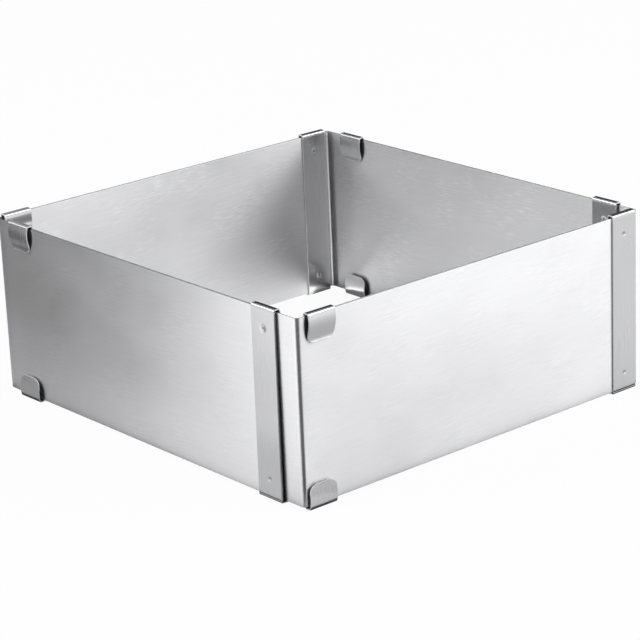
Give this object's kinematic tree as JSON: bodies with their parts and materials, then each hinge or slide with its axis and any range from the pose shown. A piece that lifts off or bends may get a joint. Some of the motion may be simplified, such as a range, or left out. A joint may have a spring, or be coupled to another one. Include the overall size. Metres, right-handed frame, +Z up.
{
  "type": "adjustable cake frame",
  "caption": "Adjustable rectangular cake frame of thin stainless sheet: overlapping corner sheets slide in hooked clips, so that width and depth can both be set.",
  "frame": {"origin": "on the ground at the centre of the frame, in the pictured state", "axes": "+Z up, +X along the width towards the right-hand corners, +Y along the depth towards the back corners"},
  "size_m": [0.2236, 0.2136, 0.0875],
  "materials": {
    "sheet_steel": "bright, fine horizontal brushing",
    "clip_steel": "bright, fine brushing along the strap",
    "spot_weld": "pressed, dull dished weld marks"
  },
  "bodies": {
    "front_left": {"corner_sheet_front_left": "sheet_steel", "outer_clip_front": "clip_steel", "weld_outer_clip_front_top": "spot_weld", "weld_outer_clip_front_bottom": "spot_weld", "inner_clip_left": "clip_steel", "weld_inner_clip_left_top": "spot_weld", "weld_inner_clip_left_bottom": "spot_weld"},
    "front_right": {"corner_sheet_front_right": "sheet_steel", "outer_clip_right": "clip_steel", "weld_outer_clip_right_top": "spot_weld", "weld_outer_clip_right_bottom": "spot_weld", "inner_clip_front": "clip_steel", "weld_inner_clip_front_top": "spot_weld", "weld_inner_clip_front_bottom": "spot_weld"},
    "back_right": {"corner_sheet_back_right": "sheet_steel", "outer_clip_back": "clip_steel", "weld_outer_clip_back_top": "spot_weld", "weld_outer_clip_back_bottom": "spot_weld", "inner_clip_right": "clip_steel", "weld_inner_clip_right_top": "spot_weld", "weld_inner_clip_right_bottom": "spot_weld"},
    "back_left": {"corner_sheet_back_left": "sheet_steel", "outer_clip_left": "clip_steel", "weld_outer_clip_left_top": "spot_weld", "weld_outer_clip_left_bottom": "spot_weld", "inner_clip_back": "clip_steel", "weld_inner_clip_back_top": "spot_weld", "weld_inner_clip_back_bottom": "spot_weld"}
  },
  "joints": [
    {"name": "width_slide", "type": "slide", "parent": "front_left", "child": "front_right", "axis": [1, 0, 0], "range_m": [-0.01, 0.162]},
    {"name": "depth_slide", "type": "slide", "parent": "front_left", "child": "back_left", "axis": [0, 1, 0], "range_m": [0, 0.1695]},
    {"name": "depth_slide_right", "type": "slide", "parent": "front_right", "child": "back_right", "axis": [0, 1, 0], "range_m": [0, 0.1695]}
  ],
  "couplings": [
    {"joint": "depth_slide_right", "follows": "depth_slide", "ratio": 1}
  ]
}
